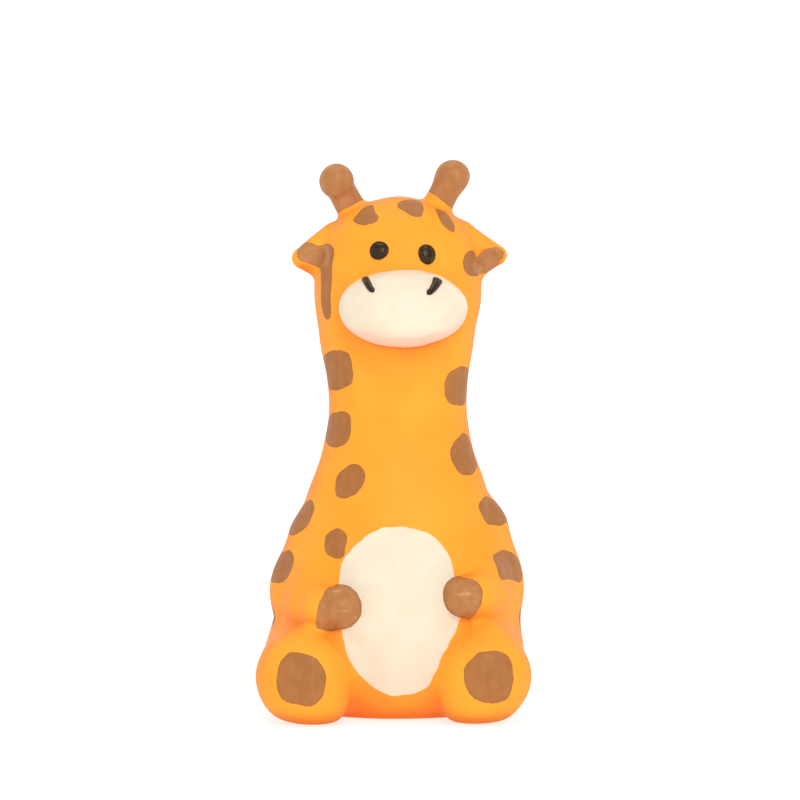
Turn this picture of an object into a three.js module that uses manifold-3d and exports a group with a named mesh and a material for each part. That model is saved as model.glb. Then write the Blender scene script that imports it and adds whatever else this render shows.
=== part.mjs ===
// A squeaky dog toy: a seated giraffe cast hollow in natural latex, with a squeaker pressed into its base.
// Millimetres, +Z up. The face looks towards -Y, and the toy sits on z = 0.
import * as THREE from "three";
import { mergeVertices } from "three/addons/utils/BufferGeometryUtils.js";
import Module from "manifold-3d";

// Sizes of the casting
const WALL = 2.4; // latex wall
const FLOOR_WALL = 4.2; // thicker latex of the base, which grips the squeaker
const GAP = 0.3; // clearance between pieces that touch

// The trunk, from base to brow: an ellipse at each level, which runs smoothly into the next one.
const TRUNK = {
  base: { z: 0, halfWidth: 30.6, front: -22.5, back: 27 },
  seat: { z: 8, halfWidth: 36, front: -27.5, back: 31.5 },
  hips: { z: 22, halfWidth: 36.1, front: -29.5, back: 34 },
  belly: { z: 36, halfWidth: 35, front: -29, back: 32.5 },
  chest: { z: 50, halfWidth: 30.8, front: -26, back: 28 },
  shoulders: { z: 64, halfWidth: 26, front: -21.8, back: 22.8 },
  neckFoot: { z: 77, halfWidth: 21.6, front: -18.4, back: 19 },
  neck: { z: 91, halfWidth: 20.1, front: -17, back: 17.8 },
  throat: { z: 105, halfWidth: 22, front: -18.8, back: 19.4 },
  cheeks: { z: 118, halfWidth: 24, front: -21.6, back: 22.2 },
  brow: { z: 128, halfWidth: 24.3, front: -22.5, back: 23 },
};
const CROWN_HEIGHT = 21; // the domed top of the head above the brow

// Legs, which point forwards: out is the distance from the middle to either side.
const LEG = { hipOut: 22.7, hipBack: 6, hipHeight: 14.5, hipRadius: 13.5, footOut: 25.2, footRadius: 13.9 };
const BALL = { inward: 3.6, back: 11.9, radius: 7.2 }; // the lower, inner bulge of each foot
const SOLE_AHEAD = 9.4; // how far the soles stand out before the belly
const FOOT_FLAT = 1; // how far the ball of the foot is pressed flat on the floor
const LEG_SHIFT = -2.1; // both feet stand a little to one side

// Arms, which lie on the trunk: inset is the depth of a ball's centre below the trunk's side. The right arm
// is raised by as much as the left one is lowered, and ends in the smaller hand.
const SHOULDER = { height: 50.8, inset: 6.9, back: 1, radius: 8.2, raised: 1.7, turnedOut: 0.4 };
const ELBOW = { height: 36.6, inset: 8.8, front: 1, radius: 9.4, raised: 1.3, turnedIn: 0.4 };
const HAND = { out: 18, height: 34.2, radius: 6.2, proud: 1.7, raised: 1.6, smaller: 0.35 };

// Horns: each a stem from inside the crown to a round knob. rise and lean take the stem's root to the knob.
const HORNS = {
  left: { out: 10.9, rise: 12.3, lean: 6.9, stem: 3.8, knob: 5.1 },
  right: { out: 8.8, rise: 13, lean: 7, stem: 4.3, knob: 4.6 },
};
const HORN_ROOT = { sunk: 5.7, radius: 4.5, back: 1 };
// Ears, which hang: root and tip are how far their ends lie before the middle. The left tip is the lower one.
const EAR = { height: 137.4, inset: 3.1, radius: 4.1, reach: 5, droop: 5.8, root: 1, tip: 3.5, uneven: 0.5 };

// The face, which is turned a little to one side
const FACE_SHIFT = 0.8;
const MUZZLE = { height: 117.3, sunk: 2, half: [18.3, 13.6, 11] };
const EYE = { out: 6.8, height: 133.3, sunk: 0.4, half: [2.75, 1.7, 2.8] };

// Fillets between the cast forms
const LIMB_FILLET = 5;
const ARM_FILLET = 3.6;
const EAR_FILLET = 3.2;
const HORN_FILLET = 1.6;
const MUZZLE_FILLET = 0.8;

// Where the casting bends and gives
const NECK_PIVOT = 88; // height of the neck's bending centre
const NECK_RISE = 14.3; // the ball-shaped parting lies this far above it on the neck's side
const PRESS = { height: 38, halfWidth: 19, halfHeight: 25, from: 8 }; // the oval of the back that gives

// The squeaker, in the middle of the base
const PLUG = {
  flangeRadius: 12,
  flangeThickness: 1.2,
  floorLift: 0.5,
  neckRadius: 9.2,
  barbWidth: 1.8,
  barbHeight: 2.6,
  tubeHeight: 14.5,
  tubeWall: 1.2,
  endPlate: 1.5,
};
const REED_TUBE = { radius: 5.5, wall: 1.2, height: 14, lip: 0.8, lipWidth: 0.9 };
const REED = { width: 4.6, thickness: 0.35, length: 11, root: 2, clampHeight: 2.6 };
const GROOVE = { width: 2.6, depth: 1.9, endWall: 1.5 };
const GRILLE = { slotWidth: 1.3, pitch: 2.6, count: 3, length: 6.4 };

// Mesh fineness
const BODY_STEP = 4.2;
const HEAD_STEP = 3.1;
const SIDE_STEP = 3.8;
const HOLLOW_STEP = 5.6;
const ROUND = 36;
const MARGIN = 7; // free space round the forms in the grid that meshes them

const wasm = await Module();
wasm.setup();

// Solids and meshes

function solidOf(geometry) {
  const bare = geometry.clone();
  bare.deleteAttribute("normal");
  bare.deleteAttribute("uv");
  const merged = mergeVertices(bare, 1e-4);
  const vertProperties = merged.attributes.position.array;
  const triVerts = new Uint32Array(merged.index.array);
  return new wasm.Manifold(new wasm.Mesh({ numProp: 3, vertProperties, triVerts }));
}

function geometryOf(solid) {
  const mesh = solid.getMesh();
  const geometry = new THREE.BufferGeometry();
  geometry.setAttribute("position", new THREE.BufferAttribute(mesh.vertProperties, 3));
  geometry.setIndex(new THREE.BufferAttribute(mesh.triVerts, 1));
  geometry.computeVertexNormals();
  return geometry;
}

function box(low, high) {
  const size = high.map((v, i) => v - low[i]);
  const geometry = new THREE.BoxGeometry(...size);
  geometry.translate(...low.map((v, i) => v + size[i] / 2));
  return solidOf(geometry);
}

// A closed profile of [radius, height] points turned about the vertical axis.
function turned(profile) {
  const points = profile.map(([r, z]) => new THREE.Vector2(r, z));
  return solidOf(new THREE.LatheGeometry(points, ROUND).rotateX(Math.PI / 2));
}

function extruded(shape, low, high) {
  const options = { depth: high - low, bevelEnabled: false, curveSegments: 12 };
  return solidOf(new THREE.ExtrudeGeometry(shape, options).translate(0, 0, low));
}

// The trunk's sizes at any height

const LEVELS = Object.values(TRUNK);
const BROW = TRUNK.brow.z;

// A smooth curve through one size of the levels.
function levelSize(key, z) {
  const last = LEVELS.length - 1;
  const height = Math.min(Math.max(z, TRUNK.base.z), BROW);
  const above = LEVELS.findIndex((each) => each.z > height);
  const n = above < 0 ? last - 1 : Math.max(above - 1, 0);
  const [a, b] = [LEVELS[n], LEVELS[n + 1]];
  const span = b.z - a.z;
  const t = (height - a.z) / span;
  const rise = (low, high) => ((high[key] - low[key]) / (high.z - low.z)) * span;
  const m0 = rise(LEVELS[Math.max(n - 1, 0)], b);
  const m1 = n + 2 > last ? 0 : rise(a, LEVELS[n + 2]);
  const d = b[key] - a[key];
  return a[key] + t * (m0 + t * (3 * d - 2 * m0 - m1 + t * (m0 + m1 - 2 * d)));
}

// Middle and half sizes of the trunk's ellipse, and how much the dome of the crown narrows it there.
function level(z) {
  const [front, back] = [levelSize("front", z), levelSize("back", z)];
  const narrowing = Math.sqrt(Math.max(1 - (Math.max(z - BROW, 0) / CROWN_HEIGHT) ** 2, 0));
  const halfWidth = levelSize("halfWidth", z);
  return { middle: (front + back) / 2, halfWidth, halfDepth: (back - front) / 2, narrowing };
}

const sideAt = (z) => level(z).halfWidth * level(z).narrowing;

function frontAt(x, z) {
  const { middle, halfWidth, halfDepth, narrowing } = level(z);
  return middle - halfDepth * Math.sqrt(Math.max(narrowing ** 2 - (x / halfWidth) ** 2, 0));
}

const crownAt = (x) => BROW + CROWN_HEIGHT * Math.sqrt(Math.max(1 - (x / TRUNK.brow.halfWidth) ** 2, 0));

// Places worked out from the sizes. side is -1 on the left and 1 on the right of the front view.

const bellyFront = Math.min(...LEVELS.map((each) => each.front));
const backMost = Math.max(...LEVELS.map((each) => each.back));
const hips = (side) => [LEG_SHIFT + LEG.hipOut * side, LEG.hipBack, LEG.hipHeight];
const footHeight = LEG.footRadius - FOOT_FLAT;
const footFront = bellyFront - SOLE_AHEAD;
const footOut = (side) => LEG_SHIFT + LEG.footOut * side;
const feet = (side) => [footOut(side), footFront + LEG.footRadius, footHeight];
const balls = (side) => [footOut(side) - BALL.inward * side, footFront + BALL.back, BALL.radius - FOOT_FLAT];
const shoulderOut = sideAt(SHOULDER.height) - SHOULDER.inset;
const elbowOut = sideAt(ELBOW.height) - ELBOW.inset;
const shoulderHeight = (side) => SHOULDER.height + SHOULDER.raised * side;
const elbowHeight = (side) => ELBOW.height + ELBOW.raised * side;
const handHeight = (side) => HAND.height + HAND.raised * side;
const handRadius = (side) => HAND.radius - HAND.smaller * side;
const shoulders = (side) => [shoulderOut * side + SHOULDER.turnedOut, SHOULDER.back, shoulderHeight(side)];
const elbows = (side) => [elbowOut * side - ELBOW.turnedIn, -ELBOW.front, elbowHeight(side)];
const hands = (side) => [HAND.out * side, frontAt(HAND.out, handHeight(side)) - HAND.proud, handHeight(side)];
const earOut = sideAt(EAR.height);
const earTipHeight = (side) => EAR.height - EAR.droop + EAR.uneven * side;
const earRoots = (side) => [(earOut - EAR.inset) * side, -EAR.root, EAR.height];
const earTips = (side) => [(earOut + EAR.reach) * side, -EAR.tip, earTipHeight(side)];
const muzzleCentre = [FACE_SHIFT, frontAt(0, MUZZLE.height) + MUZZLE.sunk, MUZZLE.height];
const eyeBack = frontAt(EYE.out, EYE.height) + EYE.sunk;
const eyeCentre = (side) => [FACE_SHIFT + EYE.out * side, eyeBack, EYE.height];

// Distances to the cast forms, negative inside

function blend(a, b, fillet) {
  const h = Math.max(fillet - Math.abs(a - b), 0) / fillet;
  return Math.min(a, b) - (h * h * fillet) / 4;
}

function ellipsoid([x, y, z], centre, half) {
  const [u, v, w] = [(x - centre[0]) / half[0], (y - centre[1]) / half[1], (z - centre[2]) / half[2]];
  const k = Math.hypot(u, v, w);
  const slope = Math.hypot(u / half[0], v / half[1], w / half[2]);
  return slope < 1e-6 ? -Math.min(...half) : (k * (k - 1)) / slope;
}

const dot = (a, b) => a[0] * b[0] + a[1] * b[1] + a[2] * b[2];

// A limb from ball a to ball b, whose radius changes evenly on the way.
function limb(p, a, b, radiusA, radiusB) {
  const along = b.map((v, i) => v - a[i]);
  const from = p.map((v, i) => v - a[i]);
  const t = Math.min(Math.max(dot(from, along) / dot(along, along), 0), 1);
  return Math.hypot(...from.map((v, i) => v - along[i] * t)) - (radiusA + (radiusB - radiusA) * t);
}

function trunk([x, y, z]) {
  const { middle, halfWidth, halfDepth } = level(z);
  return ellipsoid([x, y, Math.max(z, BROW)], [0, middle, BROW], [halfWidth, halfDepth, CROWN_HEIGHT]);
}

const ball = (p, centre, radius) => ellipsoid(p, centre, [radius, radius, radius]);

function leg(p, side) {
  const thigh = limb(p, hips(side), feet(side), LEG.hipRadius, LEG.footRadius);
  return blend(thigh, ball(p, balls(side), BALL.radius), LIMB_FILLET);
}

function arm(p, side) {
  const upper = limb(p, shoulders(side), elbows(side), SHOULDER.radius, ELBOW.radius);
  return blend(upper, limb(p, elbows(side), hands(side), ELBOW.radius, handRadius(side)), LIMB_FILLET);
}

function horn(p, side) {
  const { out, rise, lean, stem, knob } = side < 0 ? HORNS.left : HORNS.right;
  const root = [out * side, HORN_ROOT.back, crownAt(out) - HORN_ROOT.sunk];
  const top = [(out + lean) * side, HORN_ROOT.back, root[2] + rise];
  return blend(limb(p, root, top, HORN_ROOT.radius, stem), ball(p, top, knob), HORN_FILLET);
}

const ear = (p, side) => limb(p, earRoots(side), earTips(side), EAR.radius, EAR.radius);

const bothSides = (form, p) => Math.min(form(p, -1), form(p, 1));

function bodyForm(p) {
  const seated = blend(trunk(p), bothSides(leg, p), LIMB_FILLET);
  return blend(seated, bothSides(arm, p), ARM_FILLET);
}

function outside(p) {
  const head = blend(blend(bodyForm(p), bothSides(ear, p), EAR_FILLET), bothSides(horn, p), HORN_FILLET);
  return blend(head, ellipsoid(p, muzzleCentre, MUZZLE.half), MUZZLE_FILLET);
}

// The hollow lies one wall inside the body. It leaves out the ears and horns, which fill with latex.
function inside(p) {
  return blend(bodyForm(p), ellipsoid(p, muzzleCentre, MUZZLE.half), MUZZLE_FILLET) + WALL;
}

// Turning a form into a closed mesh: one point in each grid cell that the surface crosses

function forEachOf([nx, ny, nz], visit) {
  for (let k = 0; k < nz; k += 1) {
    for (let j = 0; j < ny; j += 1) {
      for (let i = 0; i < nx; i += 1) visit(i, j, k);
    }
  }
}

const AXES = [
  [1, 0, 0],
  [0, 1, 0],
  [0, 0, 1],
];
const moved = (place, ...steps) => steps.reduce((p, step) => p.map((v, n) => v + step[n]), place);

function meshed(form, grid) {
  const counts = grid.map((places) => places.length);
  const cellCounts = counts.map((n) => n - 1);
  const at = ([i, j, k]) => (k * counts[1] + j) * counts[0] + i;
  const values = new Float64Array(counts[0] * counts[1] * counts[2]);
  forEachOf(counts, (i, j, k) => {
    values[at([i, j, k])] = form([grid[0][i], grid[1][j], grid[2][k]]) || 1e-9;
  });
  closePinches(values, at, cellCounts);
  const cells = new Map();
  const points = [];
  forEachOf(cellCounts, (i, j, k) => {
    const crossing = cellPoint(values, at, [i, j, k], grid);
    if (!crossing) return;
    cells.set(at([i, j, k]), points.length / 3);
    points.push(...settled(form, crossing, (grid[2][k + 1] - grid[2][k]) / 2));
  });
  const triangles = [];
  const apart = (a, b) => Math.hypot(...[0, 1, 2].map((n) => points[a * 3 + n] - points[b * 3 + n]));
  forEachOf(cellCounts, (...place) => {
    AXES.forEach((step, axis) => {
      const filled = values[at(place)] < 0;
      if (filled === values[at(moved(place, step))] < 0) return;
      const [u, v] = [1, 2].map((n) => AXES[(axis + n) % 3].map((x) => -x));
      const round = [place, moved(place, u), moved(place, u, v), moved(place, v)];
      const loop = round.map((cell) => cells.get(at(cell)));
      const [a, b, c, d] = filled ? loop : loop.reverse();
      triangles.push(...(apart(a, c) < apart(b, d) ? [a, b, c, a, c, d] : [a, b, d, b, c, d]));
    });
  });
  const vertProperties = new Float32Array(points);
  const triVerts = new Uint32Array(triangles);
  return new wasm.Manifold(new wasm.Mesh({ numProp: 3, vertProperties, triVerts }));
}

// Where only two opposite corners of a grid square are filled, a third is, or the surface would touch itself.
function closePinches(values, at, cellCounts) {
  let changed = true;
  const closeSquare = (place, u, v) => {
    const corners = [place, moved(place, u), moved(place, v), moved(place, u, v)].map(at);
    const [p, q, r, s] = corners.map((n) => values[n] < 0);
    if (p !== s || q !== r || p === q) return;
    values[corners[p ? 1 : 0]] = -1e-3;
    changed = true;
  };
  while (changed) {
    changed = false;
    forEachOf(cellCounts, (...place) => AXES.forEach((u, n) => closeSquare(place, u, AXES[(n + 1) % 3])));
  }
}

// The mean of the places where the surface crosses a cell's edges.
function cellPoint(values, at, place, grid) {
  const crossings = [];
  const corner = (n) => moved(place, [n & 1, (n >> 1) & 1, n >> 2]);
  for (let n = 0; n < 8; n += 1) {
    for (const bit of [1, 2, 4]) {
      if (n & bit) continue;
      const [a, b] = [corner(n), corner(n | bit)];
      const [va, vb] = [values[at(a)], values[at(b)]];
      if (va < 0 === vb < 0) continue;
      crossings.push(grid.map((list, x) => list[a[x]] + ((list[b[x]] - list[a[x]]) * va) / (va - vb)));
    }
  }
  if (!crossings.length) return null;
  return crossings.reduce((sum, each) => moved(sum, each)).map((v) => v / crossings.length);
}

// Moves a point along the form's slope onto its surface, by no more than reach.
function settled(form, start, reach) {
  const tiny = 0.02;
  let p = start;
  for (let pass = 0; pass < 4; pass += 1) {
    const value = form(p);
    const slope = AXES.map((axis) => (form(p.map((v, n) => v + axis[n] * tiny)) - value) / tiny);
    const steepness = dot(slope, slope);
    if (steepness < 1e-6) break;
    p = p.map((v, n) => v - (value * slope[n]) / steepness);
  }
  return Math.hypot(...p.map((v, n) => v - start[n])) < reach ? p : start;
}

function spaced(low, high, step) {
  const count = Math.ceil((high - low) / step);
  return Array.from({ length: count + 1 }, (_, i) => low + (i * (high - low)) / count);
}

// The casting

const widest = Math.max(...LEVELS.map((each) => each.halfWidth), feet(1)[0] - 2 * LEG_SHIFT + LEG.footRadius);
const side = Math.max(widest, earTips(1)[0] + EAR.radius, elbowOut + ELBOW.turnedIn + ELBOW.radius) + MARGIN;
const hornTop = Math.max(...Object.values(HORNS).map((each) => crownAt(each.out) + each.rise + each.knob));
const handFront = Math.min(...[-1, 1].map((each) => hands(each)[1] - handRadius(each)));
const front = Math.min(bellyFront - SOLE_AHEAD, muzzleCentre[1] - MUZZLE.half[1], handFront) - MARGIN;
const back = backMost + MARGIN;
const top = hornTop + MARGIN;
const ground = -MARGIN;
const heights = [...spaced(ground, NECK_PIVOT, BODY_STEP), ...spaced(NECK_PIVOT, top, HEAD_STEP).slice(1)];
const skinGrid = [spaced(-side, side, SIDE_STEP), spaced(front, back, SIDE_STEP), heights];
const hollowGrid = [
  [-side, side],
  [front, back],
  [ground, top],
].map(([low, high]) => spaced(low, high, HOLLOW_STEP));
const below = (z) => box([-side, front, 2 * ground], [side, back, z]);

// The seat of the squeaker in the base: a recess for its flange and a hole for its neck.
const holeRadius = PLUG.neckRadius + GAP;
const seatRadius = PLUG.flangeRadius + GAP;
const seatDepth = PLUG.floorLift + PLUG.flangeThickness + GAP;
const socket = turned([
  [0, ground],
  [seatRadius, ground],
  [seatRadius, seatDepth],
  [holeRadius, seatDepth],
  [holeRadius, FLOOR_WALL + 1],
  [0, FLOOR_WALL + 1],
]);

function eyeDome(side) {
  const geometry = new THREE.SphereGeometry(1, 14, 10).rotateX(Math.PI / 2).scale(...EYE.half);
  return solidOf(geometry.translate(...eyeCentre(side)));
}

function casting() {
  const skin = meshed(outside, skinGrid).add(eyeDome(-1)).add(eyeDome(1));
  const hollow = meshed(inside, hollowGrid).subtract(below(FLOOR_WALL));
  return skin.subtract(hollow).subtract(below(0)).subtract(socket);
}

// The oval of the back wall that gives under a thumb, as a prism along Y.
function pressOval(clearance) {
  const oval = new THREE.Shape();
  oval.absellipse(0, 0, PRESS.halfWidth + clearance, PRESS.halfHeight + clearance, 0, 2 * Math.PI);
  const geometry = new THREE.ExtrudeGeometry(oval, { depth: back, bevelEnabled: false, curveSegments: 20 });
  return solidOf(geometry.rotateX(-Math.PI / 2).translate(0, PRESS.from, PRESS.height));
}

// The neck parts from the body on a ball about the bending centre, so that it turns without touching.
function neckBall(clearance) {
  const radius = Math.hypot(sideAt(NECK_PIVOT), NECK_RISE) + clearance;
  const geometry = new THREE.SphereGeometry(radius, 48, 32).rotateX(Math.PI / 2);
  return solidOf(geometry.translate(0, level(NECK_PIVOT).middle, NECK_PIVOT));
}

const cast = casting();
const aboveNeck = box([-side, front, NECK_PIVOT], [side, back, top]);
const headSolid = cast.intersect(aboveNeck).subtract(neckBall(GAP / 2));
const bodySolid = cast.subtract(aboveNeck.subtract(neckBall(-GAP / 2)));

// The squeaker

const plugTubeRadius = REED_TUBE.radius + GAP + PLUG.tubeWall;

// The plug: flange, neck, barb and tube, with slots in its end plate that let the air out.
function plug() {
  const flangeTop = PLUG.floorLift + PLUG.flangeThickness;
  const plateTop = PLUG.floorLift + PLUG.endPlate;
  const barbFoot = FLOOR_WALL + GAP;
  const tubeTop = PLUG.floorLift + PLUG.tubeHeight;
  const bore = REED_TUBE.radius + GAP;
  const body = turned([
    [0, PLUG.floorLift],
    [PLUG.flangeRadius, PLUG.floorLift],
    [PLUG.flangeRadius, flangeTop],
    [PLUG.neckRadius, flangeTop],
    [PLUG.neckRadius, barbFoot],
    [PLUG.neckRadius + PLUG.barbWidth, barbFoot],
    [plugTubeRadius, barbFoot + PLUG.barbHeight],
    [plugTubeRadius, tubeTop],
    [bore, tubeTop],
    [bore, plateTop],
    [0, plateTop],
  ]);
  const slots = Array.from({ length: GRILLE.count }, (_, n) => {
    const x = (n - (GRILLE.count - 1) / 2) * GRILLE.pitch;
    const low = [x - GRILLE.slotWidth / 2, -GRILLE.length / 2, PLUG.floorLift - 1];
    return box(low, [x + GRILLE.slotWidth / 2, GRILLE.length / 2, plateTop + 1]);
  });
  return slots.reduce((solid, slot) => solid.subtract(slot), body);
}

const tubeBore = REED_TUBE.radius - REED_TUBE.wall;
const tubeFoot = PLUG.floorLift + PLUG.endPlate + GAP;
const unitFoot = tubeFoot + REED_TUBE.lip + GAP;
const unitTop = tubeFoot + REED_TUBE.height - GAP;
const unitRadius = tubeBore - GAP;
const reedSeat = REED.thickness / 2 + GAP; // from the reed's middle to the flat face on either side

function reedTube() {
  const lipRadius = tubeBore - REED_TUBE.lipWidth;
  return turned([
    [lipRadius, tubeFoot],
    [REED_TUBE.radius, tubeFoot],
    [REED_TUBE.radius, tubeFoot + REED_TUBE.height],
    [tubeBore, tubeFoot + REED_TUBE.height],
    [tubeBore, tubeFoot + REED_TUBE.lip],
    [lipRadius, tubeFoot + REED_TUBE.lip],
    [lipRadius, tubeFoot],
  ]);
}

// The part of a disc that lies beyond the reed, on its back (1) or its front (-1).
function halfDisc(side) {
  const from = Math.asin(reedSeat / unitRadius);
  const start = side > 0 ? from : Math.PI + from;
  const shape = new THREE.Shape();
  shape.absarc(0, 0, unitRadius, start, start + Math.PI - 2 * from);
  shape.closePath();
  return shape;
}

function toneBoard() {
  const groove = box(
    [-GROOVE.width / 2, 0, unitFoot - 1],
    [GROOVE.width / 2, reedSeat + GROOVE.depth, unitTop - GROOVE.endWall],
  );
  return extruded(halfDisc(1), unitFoot, unitTop).subtract(groove);
}

function reedStrip() {
  const half = REED.width / 2;
  const shape = new THREE.Shape();
  shape.moveTo(-half, 0);
  shape.lineTo(half, 0);
  shape.absarc(0, REED.length - half, half, 0, Math.PI);
  shape.closePath();
  const geometry = new THREE.ExtrudeGeometry(shape, {
    depth: REED.thickness,
    bevelEnabled: false,
    curveSegments: 10,
  });
  const foot = unitFoot + REED.clampHeight - REED.root;
  return solidOf(geometry.rotateX(Math.PI / 2).translate(0, REED.thickness / 2, foot));
}

// The object

const FINISH = {
  latex: new THREE.MeshStandardMaterial({ color: 0xffae40, roughness: 0.5, metalness: 0 }),
  plug: new THREE.MeshStandardMaterial({ color: 0xf2f0ea, roughness: 0.4, metalness: 0 }),
  inner: new THREE.MeshStandardMaterial({ color: 0xd8dde0, roughness: 0.35, metalness: 0 }),
  film: new THREE.MeshStandardMaterial({ color: 0xb9c8cf, roughness: 0.2, metalness: 0 }),
};

const toy = new THREE.Group();

// The object's origin is the middle of its footprint, from foot to foot and from the soles to the back.
const middle = [LEG_SHIFT, (bellyFront - SOLE_AHEAD + backMost) / 2];

function place(name, solid, material) {
  const mesh = new THREE.Mesh(geometryOf(solid.translate(-middle[0], -middle[1], 0)), material);
  mesh.name = name;
  toy.add(mesh);
}

place("latex_body", bodySolid.subtract(pressOval(GAP / 2)), FINISH.latex);
place("latex_head", headSolid, FINISH.latex);
place("back_wall", bodySolid.intersect(pressOval(-GAP / 2)), FINISH.latex);
place("squeaker_plug", plug(), FINISH.plug);
place("reed_tube", reedTube(), FINISH.inner);
place("tone_board", toneBoard(), FINISH.inner);
place("reed", reedStrip(), FINISH.film);
place("reed_wedge", extruded(halfDisc(-1), unitFoot, unitFoot + REED.clampHeight), FINISH.inner);

export default toy;
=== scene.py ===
import math

import bpy
import numpy as np
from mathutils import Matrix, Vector


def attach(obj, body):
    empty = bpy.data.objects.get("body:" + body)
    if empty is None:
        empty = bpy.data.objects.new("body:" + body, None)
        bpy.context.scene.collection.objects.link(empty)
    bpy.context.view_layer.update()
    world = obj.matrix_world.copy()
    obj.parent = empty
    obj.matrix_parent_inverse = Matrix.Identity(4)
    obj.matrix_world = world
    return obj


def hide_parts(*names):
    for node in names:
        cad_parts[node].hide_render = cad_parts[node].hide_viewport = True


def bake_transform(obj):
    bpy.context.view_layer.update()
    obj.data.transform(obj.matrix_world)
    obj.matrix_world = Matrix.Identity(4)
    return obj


# A squeaky dog toy: a seated giraffe cast hollow in latex and painted by hand.
# The forms are distances in millimetres, negative inside, in the casting's own frame: its face looks
# towards -Y and its squeaker is on the axis x = y = 0. SHIFT takes that frame to the object's origin,
# the middle of the footprint.

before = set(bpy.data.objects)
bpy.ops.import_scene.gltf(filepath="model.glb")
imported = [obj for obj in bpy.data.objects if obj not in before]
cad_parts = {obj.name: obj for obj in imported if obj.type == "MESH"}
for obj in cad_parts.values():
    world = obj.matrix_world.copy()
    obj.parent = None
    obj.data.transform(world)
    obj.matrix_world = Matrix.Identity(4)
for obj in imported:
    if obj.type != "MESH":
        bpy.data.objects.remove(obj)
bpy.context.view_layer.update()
SHIFT = np.array((2.1, 2.45, 0.0))


# Trunk: height, half width, front and back of its ellipse at each level
TRUNK = np.array([
    (0, 30.6, -22.5, 27), (8, 36, -27.5, 31.5), (22, 36.1, -29.5, 34), (36, 35, -29, 32.5),
    (50, 30.8, -26, 28), (64, 26, -21.8, 22.8), (77, 21.6, -18.4, 19), (91, 20.1, -17, 17.8),
    (105, 22, -18.8, 19.4), (118, 24, -21.6, 22.2), (128, 24.3, -22.5, 23)])
BROW, CROWN = 128.0, 21.0  # the height where the trunk turns into a dome, and how high the dome is
LEAN, LEAN_HEIGHT, LEAN_REACH = 0.3, 104, 12  # the neck's lean to the left, its height and reach
HEIGHTS = np.arange(0, BROW + 0.01, 0.02)


def column(n):
    """One size of the trunk at HEIGHTS: a cubic between each two levels, with its neighbours' mean slopes."""
    z, v = TRUNK[:, 0], TRUNK[:, n]
    slope = np.zeros(len(z))
    slope[1:-1] = (v[2:] - v[:-2]) / (z[2:] - z[:-2])
    slope[0] = (v[1] - v[0]) / (z[1] - z[0])
    k = np.clip(np.searchsorted(z, HEIGHTS, "right") - 1, 0, len(z) - 2)
    h = z[k + 1] - z[k]
    t = (HEIGHTS - z[k]) / h
    a, b, m0, m1 = v[k], v[k + 1], slope[k] * h, slope[k + 1] * h
    return a + t * (m0 + t * (3 * (b - a) - 2 * m0 - m1 + t * (m0 + m1 - 2 * (b - a))))


WIDTH, FRONT, BACK = (column(n) for n in (1, 2, 3))


def level(z):
    """Half width, middle and half depth of the trunk at height z."""
    w, f, b = (np.interp(z, HEIGHTS, c) for c in (WIDTH, FRONT, BACK))
    return w, (f + b) / 2, (b - f) / 2


def side_at(z):
    """Half width of the trunk or its dome at height z."""
    return float(level(z)[0]) * math.sqrt(1 - (max(z - BROW, 0) / CROWN) ** 2)


def front_at(x, z):
    """The y of the front of the trunk or its dome at x and z."""
    w, m, d = level(z)
    return float(m - d * math.sqrt(1 - (max(z - BROW, 0) / CROWN) ** 2 - (x / w) ** 2))


def blend(a, b, k):
    """The nearer of two forms, with a fillet k wide: min(a, b) - h^2 k / 4, h = max(k - |a - b|, 0) / k."""
    h = np.maximum(k - np.abs(a - b), 0) / k
    return np.minimum(a, b) - h * h * k / 4


def carve(a, b, k):
    """Form a without form b, its edge rounded k wide."""
    return -blend(-a, b, k)


def share(value, start, span):
    """How much of the span from start on a value has passed, between 0 and 1."""
    return np.clip((value - start) / span, 0, 1)


def hump(value, middle, width):
    """A bell curve that is 1 at the middle."""
    return np.exp(-((value - middle) / width) ** 2)


def length(v):
    """The length of each vector."""
    return np.sqrt((v * v).sum(-1))


def ellipsoid(p, centre, half):
    """Nearly the distance to an ellipsoid: k (k - 1) / m, with k = |q / half| and m = |q / half^2|."""
    q, half = p - np.array(centre, float), np.array(half, float)
    k = length(q / half)
    return k * (k - 1) / np.maximum(length(q / half**2), 1e-6)


def ball(p, centre, radius):
    """The distance to a ball."""
    return length(p - np.array(centre, float)) - radius


def limb(p, a, b, ra, rb):
    """A capsule from a to b, whose radius changes evenly from ra to rb."""
    a, b = np.array(a, float), np.array(b, float)
    d = b - a
    t = np.clip((p - a) @ d / (d @ d), 0, 1)
    return length(p - a - t[..., None] * d) - (ra + (rb - ra) * t)


# Places of the limbs and features, -1 on the left and 1 on the right of the front view
SIDES = (-1, 1)
HIP = {s: (-2.1 + 22.7 * s, 6, 14.5) for s in SIDES}
FOOT = {s: (-2.1 + 25.2 * s, -25, 12.9) for s in SIDES}
BALL = {s: (-2.1 + 21.6 * s, -27, 6.2) for s in SIDES}
SOLE_FRONT = -38.3
SHOULDER = {s: ((side_at(50.8) - 7.1) * s + 0.3, 1, 50.8 + 1.7 * s) for s in SIDES}
ELBOW = {s: ((side_at(36.6) - 8.9) * s - 0.55, -1, 36.6 + 1.3 * s) for s in SIDES}
HAND = {s: (17.6 * s, front_at(18, 34.4 + 1.4 * s) - 1.7, 34.4 + 1.4 * s) for s in SIDES}
WRIST = {-1: (-21.6, HAND[-1][1] + 1.4, 32.3), 1: (20.3, HAND[1][1] + 1.6, 36.4)}
EAR_ROOT = {s: ((side_at(137.4) - 3.1) * s, -1, 137.4) for s in SIDES}
EAR_MIDDLE = {s: (20.5 * s, -1, 132) for s in SIDES}
EAR_LOBE = {s: (21.3 * s, -1.5, 127) for s in SIDES}
EAR_TIP = {-1: ((-27.6, -3.5, 131.3), 3.25), 1: ((28.6, -3.5, 132.1), 2.75)}  # place and radius
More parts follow.
